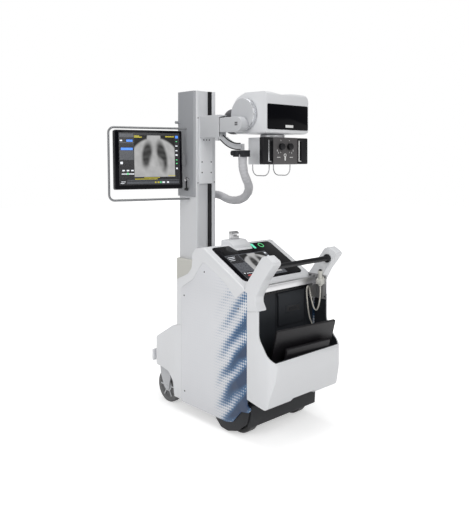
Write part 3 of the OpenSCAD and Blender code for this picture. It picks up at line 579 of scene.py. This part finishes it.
black_glass = finish("black glass", (0.0025, 0.0025, 0.004), 0.10, 0.03, change=0.0, depth=0.0, level=0.06)
sheet_top = 2.2
sheet_line = [(-240, -338, 30), (240, -338, 30), (240, -16, 25), (76, -16, 12), (58, -68, 18), (-79, -68, 18),
              (-97, -16, 12), (-240, -16, 25)]
stand_in(keep(on_deck(drawn(sheet_line, "z", -2.6, sheet_top, 0.8)), "console_sheet", black_glass),
         "console_glass")


def radiograph():
    """A plain chest picture from smooth ovals: a pale body and neck, two dark lungs, a heart
    and faint ribs."""
    made = bpy.data.materials.new("lit radiograph")
    made.use_nodes = True
    tree = made.node_tree
    place = node(tree, "ShaderNodeUVMap", uv_map="picture")
    apart = node(tree, "ShaderNodeSeparateXYZ")
    tree.links.new(place.outputs["UV"], apart.inputs[0])
    u, v = apart.outputs["X"], apart.outputs["Y"]

    def times(a, b):
        return reckon(tree, "MULTIPLY", a, b)

    def oval(cu, cv, ru, rv, lean, soft):
        """One inside a leaning oval about (cu, cv), nought outside it, with a soft rim."""
        du = reckon(tree, "SUBTRACT", reckon(tree, "MULTIPLY_ADD", v, lean, u), cu + lean * cv)
        dv = reckon(tree, "SUBTRACT", v, cv)
        wide = reckon(tree, "POWER", reckon(tree, "DIVIDE", du, ru), 2.0)
        tall = reckon(tree, "POWER", reckon(tree, "DIVIDE", dv, rv), 2.0)
        far = reckon(tree, "SQRT", reckon(tree, "ADD", wide, tall))
        fade = node(tree, "ShaderNodeMapRange", interpolation_type="SMOOTHSTEP", From_Min=1 + soft,
                    From_Max=1 - soft)
        tree.links.new(far, fade.inputs["Value"])
        return fade.outputs[0]

    body = oval(0.5, 0.30, 0.64, 0.64, 0.0, 0.05)
    neck = oval(0.48, 0.9, 0.17, 0.3, 0.0, 0.1)
    lungs = reckon(tree, "MAXIMUM", oval(0.31, 0.54, 0.12, 0.30, -0.10, 0.38),
                   oval(0.68, 0.50, 0.12, 0.36, 0.16, 0.36))
    heart = oval(0.55, 0.33, 0.17, 0.19, 0.3, 0.3)
    ribs = node(tree, "ShaderNodeTexWave", bands_direction="Y", Scale=2.2, Distortion=7.0, Detail=2.0)
    tree.links.new(place.outputs["UV"], ribs.inputs["Vector"])
    cloud = node(tree, "ShaderNodeTexNoise", Scale=5.0, Detail=5.0)
    tree.links.new(place.outputs["UV"], cloud.inputs["Vector"])
    tissue = times(reckon(tree, "MAXIMUM", body, neck), 0.42)
    dark = times(lungs, reckon(tree, "SUBTRACT", 0.40, times(heart, 0.22)))
    tone = reckon(tree, "SUBTRACT", tissue, dark)
    tone = reckon(tree, "ADD", tone, times(times(ribs.outputs["Fac"], lungs), 0.03))
    tone = times(tone, reckon(tree, "MULTIPLY_ADD", cloud.outputs["Fac"], 0.7, 0.65))
    tone = reckon(tree, "MAXIMUM", tone, 0.004)
    mixed = node(tree, "ShaderNodeCombineXYZ")
    for socket in mixed.inputs:
        tree.links.new(tone, socket)
    shader = tree.nodes["Principled BSDF"]
    shader.inputs["Base Color"].default_value = (0.01, 0.01, 0.01, 1)
    shader.inputs["Roughness"].default_value = 0.3
    shader.inputs["Specular IOR Level"].default_value = 0.2
    tree.links.new(mixed.outputs[0], shader.inputs["Emission Color"])
    shader.inputs["Emission Strength"].default_value = 1.0
    return made


def tiles(boxes):
    """Flat oblongs (u0, v0, u1, v1) in the XY plane as one sheet."""
    bm = bmesh.new()
    uv = bm.loops.layers.uv.new("picture")
    for u0, v0, u1, v1 in boxes:
        corners = [bm.verts.new(p) for p in ((u0, v0, 0), (u1, v0, 0), (u1, v1, 0), (u0, v1, 0))]
        face = bm.faces.new(corners)
        for loop, value in zip(face.loops, ((0, 0), (1, 0), (1, 1), (0, 1))):
            loop[uv].uv = value
    return bm


picture = radiograph()
panel_grey = glow("screen grey", (0.045, 0.048, 0.055), 0.9)
panel_dark = glow("screen black", (0.006, 0.006, 0.008), 0.6)
mark_white = glow("screen white marks", (0.55, 0.57, 0.6), 0.9)
mark_blue = glow("screen blue marks", (0.05, 0.18, 0.62), 1.0)
mark_gold = glow("screen yellow marks", (0.30, 0.26, 0.02), 1.0)
mark_green = glow("screen green marks", (0.08, 0.42, 0.16), 1.0)
mark_red = glow("screen red marks", (0.5, 0.06, 0.06), 0.9)
for name, lift, paint, boxes in (
        ("console_screen", 2.5, panel_grey, [(-205, -318, 122, -104)]),
        ("console_picture", 2.8, picture, [(-98, -300, 96, -110)]),
        ("console_side", 2.8, panel_dark, [(-200, -312, -106, -262), (-200, -180, -106, -110)]),
        ("console_notes", 3.0, mark_white, [
            (-196, -126, -140, -122), (-196, -140, -150, -136), (-196, -154, -158, -151),
            (-190, -276, -180, -268), (-170, -276, -126, -272), (102, -130, 116, -118),
            (102, -160, 116, -150), (102, -190, 116, -182)]),
        ("console_alerts", 3.0, mark_red, [(-176, -296, -124, -290)])):
    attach(keep(on_deck(tiles(boxes), lift), name, paint), "cart")
lamp_x, button_x, row = 76, 142, -48
lamp = on_deck(drawn(oblong(-9, -24, 9, 24, 8), "z", sheet_top, 4.2, 0.8))
bmesh.ops.translate(lamp, verts=lamp.verts, vec=(lamp_x, row * math.cos(slope), row * math.sin(slope)))
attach(keep(lamp, "console_lamp", glow("green lamp", (0.12, 0.62, 0.40), 0.8)), "cart")
ring = turned([(15, 0), (20, 0), (20, 1.6), (15, 1.6), (15, 0)], "z", (button_x, row, sheet_top), 0.5, 32)
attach(keep(on_deck(ring), "console_button", mark_green), "cart")
brushed = finish("brushed steel", (0.58, 0.58, 0.59), 0.22, 0.22, grain=260, depth=0.15,
                 stretch=(1, 24, 24), metal=1.0)
stand_in(keep(softened("dock_latch", 1.5), "dock_hasp", brushed), "dock_latch")


# Detector bin and bumper
# A deep white moulding with round corners and a dark lining hangs behind the panels;
# below it a black bumper and black skirts close the cart over its drive wheels.
stand_in(keep(softened("bin", 3.0, 3), "detector_bin", white_lacquer), "bin")
charcoal_plastic = finish("charcoal plastic", (0.014, 0.015, 0.018), 0.5, 0.18, grain=520, depth=0.35,
                          level=0.3)
black_plastic = finish("black plastic", (0.006, 0.006, 0.008), 0.38, 0.14, grain=520, depth=0.3, level=0.3)
bay_grey = finish("bay plastic", (0.022, 0.025, 0.030), 0.55, 0.15, grain=520, depth=0.3, level=0.3)
dress(bay_grey, "bin_liner", "rear_bay")
dress(charcoal_plastic, "chassis", "power_block")
for name, width in (("rear_bumper", 6), ("skirt_left", 2.5), ("skirt_right", 2.5)):
    stand_in(keep(softened(name, width, 3), "trim_" + name, charcoal_plastic), name)


# Handle arms, bar and cross rail
# Two broad white arms rise from the rear corners. A black sleeved bar and a brushed
# flat rail run between them; the rail ends in a screwed steel bracket on the right.
arm_thick, bar_half = 60, 226
bar_y, bar_z = -592, 936
arm_line = [(-440.6, 800), (-450, 834, 20), (-569, 990, 14), (-597, 1001, 16), (-656, 968, 18),
            (-578, 870, 110), (-515, 762, 50), (-541, 714, 14), (-541, 705.6), (-458.6, 692), (-458.6, 788)]
for side, low in (("left", -half_width), ("right", half_width - arm_thick)):
    arm = drawn(arm_line, "x", low, low + arm_thick, soft=7)
    eased(arm, 9, 4, 50, lambda c: c.z > 712 and (c.y < -452 or c.z > 812))
    stand_in(keep(arm, "grab_arm_" + side, white_lacquer), "handle_arm_" + side)
bar_line = [(0, -bar_half), (24, -bar_half), (24, -214), (14.5, -210), (14.5, 210), (24, 214), (24, bar_half),
            (0, bar_half)]
bar = turned(bar_line, "x", (0, bar_y, bar_z), 1.2, 40)
stand_in(keep(bar, "grab_bar", black_plastic), "handle_bar")
rail = together(block((-bar_half, -508, 787), (bar_half, -494, 823), 2.0),
                block((-bar_half, -512, 819), (bar_half, -488, 824), 1.0))
stand_in(keep(rail, "brushed_rail", brushed), "cross_rail")
sheet_steel = finish("zinc sheet", (0.42, 0.42, 0.43), 0.34, 0.25, grain=200, depth=0.2, metal=0.9)
bracket = together(block((221.8, -586, 700), (225.2, -450, 838), 1.2),
                   block((196, -506, 776), (224, -500, 832), 1.0))
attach(keep(bracket, "rail_bracket", sheet_steel), "cart")
bolts = screws(5, 3, "x", [(219, y, z) for y, z in ((-574, 826), (-574, 716), (-466, 826), (-466, 712),
                                                    (-540, 770))], 0.8)
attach(keep(bolts, "bracket_screws", dark_screw), "cart")


# Rear bay and its flap door
# A dark plastic wall behind the bin, with raised bars along its top edge, two seams
# and a flap door that is hinged along its own top and has a flat latch in a frame.
door_top = 748
wall_y, bar_pitch = -440.2, 24
door = drawn(oblong(-30, 565, 188, door_top, 4), "y", -451, -441, 2.0, 3)
latch_frame = drawn(oblong(28, 630, 151, 674, 5), "y", -453.2, -450.5, 1.0)
stand_in(keep(together(door, latch_frame), "flap_door", bay_grey), "bay_door")
latch_well = keep(block((36, -453.6, 638), (143, -452.9, 667)), "flap_latch_well", black_plastic)
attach(latch_well, body_of["bay_door"])
flap_latch = keep(block((58, -456.0, 644), (118, -453.4, 658), 1.2), "flap_latch", charcoal_plastic)
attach(flap_latch, body_of["bay_door"])
bars = [block((x, -444.6, 757), (x + 16, wall_y, 765), 1.0) for x in range(-230, 190, bar_pitch)]
vent = together(block((-250, -443, 752), (262, wall_y, 770), 1.0), *bars)
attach(keep(vent, "bay_vent", black_plastic), "cart")
ribs = [block((x, -441.6, 240), (x + 3, wall_y, door_top), 0.6) for x in (-44, 199)]
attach(keep(together(*ribs), "bay_seams", black_plastic), "cart")


# Flat detectors
# Two slim flat x-ray detectors in dark rubber-edged cases. They stand loose in the bin,
# the smaller one before the larger.
case_edge = 3.5
case = finish("detector case", (0.011, 0.010, 0.012), 0.42, 0.16, grain=600, depth=0.25, level=0.35)
for name in ("detector_large", "detector_small"):
    stand_in(keep(softened(name, case_edge, 3), "cased_" + name, case), name)


# Hand switch
# A cream two-step hand switch of moulded plastic with a dark tip. A clip on the right
# arm holds it upright.
warm_white = finish("warm white paint", (0.66, 0.655, 0.61), 0.38, 0.12)
stand_in(keep(softened("switch_holder", 2.0), "switch_clip", warm_white), "switch_holder")
switch_axis = (207, -554, 0)
grip_line = [(0, 776), (10, 776), (11.6, 782), (11.6, 848), (14, 852), (14, 862), (0, 862)]
grip = turned(grip_line, "z", switch_axis, 1.2)
stand_in(keep(grip, "thumb_switch", warm_white), "hand_switch")
button = turned([(0, 861), (9, 861), (9, 868), (6, 871), (0, 871)], "z", switch_axis, 0.8)
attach(keep(button, "thumb_button", black_plastic), "cart")


# Front housing and column turret
# A bulged white moulding covers the casters, and the cream turret stands up through it.
# Both are fixed to the chassis; the housing's front carries a small parking clip.
front_shell = keep(softened("front_housing", 5.0, 3, 40), "front_shell", white_lacquer)
stand_in(front_shell, "front_housing")
stand_in(keep(softened("column_turret", 6.0, 3), "column_foot", warm_white), "column_turret")
clip = together(block((-279, 386, 236), (-243, 402, 306), 5.0, 3),
                block((-272, 400.5, 258), (-262, 403, 288), 1.0))
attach(keep(clip, "parking_clip", white_lacquer), "cart")


# Casters and drive wheels
# Grey rubber tyres on spoked cores run in painted steel forks that swivel on their stems;
# the drive wheels are black.
caster_x, caster_y, caster_z = 225, 280, 100
spoke_count = 6
pale_grey = finish("pale grey powder coat", (0.58, 0.59, 0.61), 0.40, 0.12, grain=420, depth=0.2)
caster_rubber = finish("grey caster rubber", (0.15, 0.15, 0.155), 0.62, 0.2, grain=300, depth=0.3)
dress(caster_rubber, "caster_wheel_left", "caster_wheel_right")
dress(black_plastic, "drive_wheel_left", "drive_wheel_right")
for side in ("left", "right"):
    name = "caster_fork_" + side
    stand_in(keep(softened(name, 1.6), "yoke_" + side, pale_grey), name)
    middle = -caster_x if side == "left" else caster_x
    spokes = []
    for face in (-20.6, 19.6):
        hub = (middle + face, caster_y, caster_z)
        sideways = Matrix.Translation(hub) @ Matrix.Rotation(math.pi / 2, 4, "Y")
        for k in range(spoke_count):
            spoke = block((-4, 34, -0.5), (4, 70, 1.5), 0.5)
            turn = sideways @ Matrix.Rotation(k * 2 * math.pi / spoke_count, 4, "Z")
            bmesh.ops.transform(spoke, matrix=turn, verts=spoke.verts)
            spokes.append(spoke)
        spokes.append(turned([(11, -0.5), (34, -0.5), (34, 1.8), (11, 1.8), (11, -0.5)], "x", hub, 0.5))
    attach(keep(together(*spokes), "caster_spokes_" + side, pale_grey), body_of["caster_wheel_" + side])


# Column
# An extruded aluminium mast in satin white: a guide recess for the carriage and a cable
# slot in its rear face filled with a black block, a grey cover on its left.
column_white = finish("satin column white", (0.70, 0.71, 0.73), 0.34, 0.10)
column_grey = finish("column cover grey", (0.34, 0.35, 0.37), 0.36, 0.10)
stand_in(keep(softened("column_mast", 1.2), "mast", column_white), "column_mast")
stand_in(keep(softened("column_cover", 3.0, 3), "mast_cover", column_grey), "column_cover")
# A black block fills the cable slot in the rear face.
slot_block = keep(block((19.4, 201.5, 866), (44.6, 231.6, 1929)), "slot_black_block", black_plastic)
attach(slot_block, body_of["column_mast"])
lock_y = 275
barrel_line = [(0, -110), (13, -110), (13, -100), (9, -98), (9, -92), (0, -92)]
barrel = turned(barrel_line, "x", (0, lock_y, 1372), 1.0, 28)
stand_in(keep(barrel, "lock_barrel", brushed), "lock_key")
lever = together(block((-108, lock_y - 4, 1316), (-100, lock_y + 4, 1366), 1.5),
                 block((-108, lock_y - 17, 1300), (-100, lock_y + 17, 1317), 3.0))
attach(keep(lever, "lock_lever", black_plastic), body_of["column_mast"])
heads = screws(4, 1.6, "y", [(66, 199.0, 1352), (-71, 199.0, 1349), (-71, 199.0, 1758)], sides=14)
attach(keep(heads, "mast_screws", dark_screw), body_of["column_mast"])


# Monitor and its tubular frame
# A black flat monitor turned towards the operator, with a grey tube bent round it. A
# bracket holds both on the left side of the column.
display_place = (-140, 272, 1496)
display_turn, display_tilt = math.radians(-18), math.radians(-3.5)


def on_monitor(bm, lift=0.0):
    """Lays a piece drawn upright in the XZ plane on the turned and tilted monitor."""
    turn = (Matrix.Translation(display_place) @ Matrix.Rotation(display_turn, 4, "Z")
            @ Matrix.Rotation(display_tilt, 4, "X") @ Matrix.Translation((0, -lift, 0)))
    bmesh.ops.transform(bm, matrix=turn, verts=bm.verts)
    return bm


def upright(bm):
    """Stands a sheet that was drawn in the XY plane upright."""
    bmesh.ops.transform(bm, matrix=Matrix.Rotation(math.pi / 2, 4, "X"), verts=bm.verts)
    return bm


case_wide, case_half, inset = 433, 181.5, 5
case_back = drawn(oblong(-case_wide, -case_half, 0, case_half, 9), "y", 0, 40, 2.5, 3)
stand_in(keep(on_monitor(case_back), "display_case", black_plastic), "monitor")
silver_paint = finish("silver paint", (0.22, 0.225, 0.235), 0.3, 0.10, metal=0.2)
dress(silver_paint, "monitor_frame")
sheet = drawn(oblong(inset - case_wide, inset - case_half, -inset, case_half - inset, 5), "y", -0.6, 0.5, 0.3)
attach(keep(on_monitor(sheet), "display_glass", black_glass), body_of["monitor"])


lit_x, lit_z, lit_wide, lit_tall = -405, -156, 388, 321


def shown(boxes):
    """Screen boxes given as shares of the lit area, left to right and bottom to top."""
    return [(lit_x + lit_wide * a, lit_z + lit_tall * b, lit_x + lit_wide * c, lit_z + lit_tall * d)
            for a, b, c, d in boxes]


for name, lift, paint, boxes in (
        ("display_field", 0.9, panel_dark, [(0, 0, 1, 1)]),
        ("display_picture", 1.2, picture, [(0.245, 0.155, 0.915, 0.95)]),
        ("display_bars", 1.2, panel_grey, [
            (0.01, 0.48, 0.235, 0.66), (0.01, 0.91, 0.235, 0.98), (0.12, 0.025, 0.98, 0.07),
            (0.01, 0.80, 0.235, 0.815), (0.13, 0.085, 0.98, 0.10)]),
        ("display_blues", 1.4, mark_blue, [
            (0.03, 0.665, 0.22, 0.71), (0.12, 0.825, 0.22, 0.865), (0.93, 0.90, 0.975, 0.95)]),
        ("display_golds", 1.4, mark_gold, [
            (0.245, 0.905, 0.37, 0.925), (0.245, 0.93, 0.33, 0.945), (0.76, 0.92, 0.91, 0.94),
            (0.80, 0.168, 0.92, 0.18), (0.25, 0.108, 0.62, 0.122), (0.40, 0.135, 0.66, 0.145),
            (0.575, 0.035, 0.60, 0.065), (0.62, 0.035, 0.65, 0.065)]),
        ("display_whites", 1.4, mark_white, [
            (0.015, 0.835, 0.055, 0.86), (0.02, 0.40, 0.06, 0.445), (0.05, 0.265, 0.09, 0.29),
            (0.12, 0.265, 0.16, 0.29), (0.19, 0.265, 0.23, 0.29), (0.04, 0.205, 0.24, 0.222),
            (0.70, 0.035, 0.74, 0.065), (0.78, 0.035, 0.81, 0.065), (0.93, 0.56, 0.965, 0.59),
            (0.93, 0.65, 0.965, 0.67), (0.93, 0.74, 0.965, 0.76), (0.935, 0.30, 0.965, 0.33),
            (0.02, 0.03, 0.08, 0.04), (0.03, 0.06, 0.10, 0.07)]),
        ("display_greens", 1.5, mark_green, [
            (0.125, 0.20, 0.15, 0.235), (0.935, 0.40, 0.96, 0.42), (0.935, 0.47, 0.96, 0.49),
            (0.66, 0.035, 0.685, 0.065), (0.935, 0.83, 0.96, 0.845)])):
    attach(keep(on_monitor(upright(tiles(shown(boxes))), lift), name, paint), body_of["monitor"])


# Carriage and telescoping arm
# A white plate rides in the guide recess; the grey outer arm is bolted to it, and the
# inner arm slides in that and carries the tube head on its end pivot.
plate = drawn(oblong(-62, 1344, 41, 1769, 3), "y", 189.7, 199.7, 1.2)
tongue = block((-52, 199.2, 1348), (16, 209.7, 1765))
stand_in(keep(together(plate, tongue), "lift_plate", white_lacquer), "carriage_plate")
heads = screws(4.5, 1.8, "y", [(x, 188.3, z) for x, z in (
    (-46, 1481), (30, 1481), (-46, 1414), (30, 1414), (-32, 1620), (-8, 1620), (14, 1620))], 0.5, 14)
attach(keep(heads, "plate_screws", dark_screw), "carriage")
for name, width in (("arm_outer", 4), ("arm_inner", 3), ("cable_guide", 1.0), ("trunnion_disc", 2.5)):
    stand_in(keep(softened(name, width, 3), "worked_" + name, pale_grey), name)
stand_in(keep(softened("hose_clamp", 2.5), "hose_saddle", charcoal_plastic), "hose_clamp")
ends = [block((-61.2, y, z), (-59.6, y + 9, z + 9), 0.5) for y in (-148, -135) for z in (1698, 1710)]
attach(keep(together(*ends), "pivot_marks", black_plastic), body_of["arm_inner"])
# Two black strips along the side of the cable guide: painted shade for the dark shadow lines between and
# beside its cables.
guide_shade_lines = []
start, stop = math.radians(-93), math.radians(-48)
for radius in (250, 214):
    line = bmesh.new()
    section = [(-68, radius - 6), (-64.6, radius - 6), (-64.6, radius + 0.5), (-68, radius + 0.5)]
    face = line.faces.new([line.verts.new((x, math.cos(start) * r, math.sin(start) * r)) for x, r in section])
    bmesh.ops.spin(line, geom=[face] + list(face.verts) + list(face.edges), angle=stop - start, steps=24,
                   axis=(1, 0, 0), cent=(0, 0, 0))
    bmesh.ops.translate(line, verts=line.verts, vec=(0, -170, 1802))
    guide_shade_lines.append(line)
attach(keep(together(*guide_shade_lines), "guide_painted_shade", black_plastic), body_of["cable_guide"])


# Tube head
# The white lead-lined tube housing turns on a bright disc; its rear face is a black glass
# with a small bare label, and its high-voltage cables loop out behind, far darker than the main hose: painted
# shade.
tube_shell = keep(softened("tube_housing", 7.0, 4, 40), "tube_shell", white_lacquer)
stand_in(tube_shell, "tube_housing")
glass = drawn(oblong(48, 1675, 409, 1825, 10), "y", -291, -288, 1.0)
stand_in(keep(glass, "tube_glass", black_glass), "head_glass")
label = finish("bare label", (0.86, 0.86, 0.85), 0.5, 0.1)
bare_plate = keep(block((203, -291.6, 1688), (272, -290.8, 1704), 0.3), "bare_plate", label)
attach(bare_plate, body_of["tube_housing"])
bright = finish("turned aluminium", (0.66, 0.67, 0.69), 0.2, 0.15, grain=200, depth=0.2, metal=0.95)
band = turned([(95.6, 5), (96.2, 6), (96.2, 31), (95.6, 32), (94.5, 32), (94.5, 5), (95.6, 5)], "x",
              (4, -118, 1769), steps=64)
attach(keep(band, "disc_band", bright), body_of["trunnion_disc"])
# The loop uses the same wrap as the main hose in a much darker grey, painted shade where it sits behind the
# arm.
loop = smooth_path([(70, y, z) for y, z in (
    (-6, 1784), (31, 1784), (57, 1777), (76, 1758), (83, 1732), (76, 1706), (57, 1687), (31, 1680),
    (-6, 1680))])
shaded_wrap = wrapped("wrapped cable in painted shade", (0.13, 0.13, 0.14), 0.012)
stand_in(keep(sweep(loop, 27, 24, lambda s: 1.0 + 0.03 * math.sin(s * 0.5)), "tension_cables", shaded_wrap, 80),
         "cable_loop")


# Collimator
# A white box below a bearing ring; its rear panel is dark grey with two knobs, a dial and
# plain marks, between black grips with painted light inside them: bright strips where the
# backdrop shows through their gaps. Two steel spacer wires hang below.
beam_axis = (216, -170, 0)
ring_line = [(0, 1630.3), (74, 1630.3), (75, 1634), (75, 1646), (68, 1652), (0, 1652)]
ring = turned(ring_line, "z", beam_axis, 1, 64)
stand_in(keep(ring, "bearing_ring", brushed), "swivel_ring")
neck = turned([(0, 1629), (30, 1629), (30, 1646), (0, 1646)], "z", beam_axis)
housing = together(block((104, -268.5, 1466), (328, -71.5, 1630), 4.0, 3), neck)
stand_in(keep(housing, "collimator_case", white_lacquer), "collimator_body")
panel_paint = finish("dark grey panel", (0.085, 0.080, 0.082), 0.42, 0.15, grain=500, depth=0.25)
panel_y = -280.5
face_plate = block((105, panel_y, 1467), (327, -268.5, 1629), 3.0, 3)
stand_in(keep(face_plate, "dial_plate", panel_paint), "collimator_panel")
knob_line = [(0, 0), (17, 0), (20, 4), (20, 20), (17, 24), (0, 24)]
knobs = [turned(knob_line, "y", (x, panel_y - 24, 1574), 1.2, 28) for x in (172, 246)]
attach(keep(together(*knobs), "field_knobs", black_plastic), "collimator")
dial = together(turned([(7, 0), (11, 0), (11, 2), (7, 2), (7, 0)], "y", (210, -282.3, 1522), 0.4, 28),
                block((204.5, -284, 1490), (215.5, -280.4, 1516), 2.5))
marks = [block((x, -281.2, z), (x + w, -280.3, z + h)) for x, z, w, h in (
    (140, 1508, 28, 3.5), (252, 1508, 28, 3.5), (150, 1532, 3, 9), (170, 1536, 3, 7), (248, 1536, 3, 7),
    (268, 1532, 3, 9), (172, 1608, 3, 6), (246, 1608, 3, 6), (140, 1544, 3, 12), (281, 1544, 3, 12))]
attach(keep(together(dial, *marks), "panel_marks", label), "collimator")
grips = keep(softened("collimator_handles", 3.0, 3), "collimator_grips", black_plastic)
stand_in(grips, "collimator_handles")
# Each grip gets an upright bright strip, painted light where the backdrop shows through its gap, x and width
# in millimetres, with a short foot.
for side, x, wide, paint in (("left", 62, 7, bright), ("right", 330, 9, label)):
    edge = together(block((x, -284.6, 1484), (x + wide, -284, 1612), 0.2),
                    block((x, -284.8, 1484), (x + 24, -283.9, 1488), 0.2))
    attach(keep(edge, "grip_painted_light_" + side, paint), "collimator")
latch = together(block((101.6, -250, 1492), (104.4, -226, 1506), 0.8),
                 block((101.6, -218, 1496), (104.4, -196, 1502), 0.8))
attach(keep(latch, "case_latch", black_plastic), "collimator")
dress(sheet_steel, "spacer_wires")
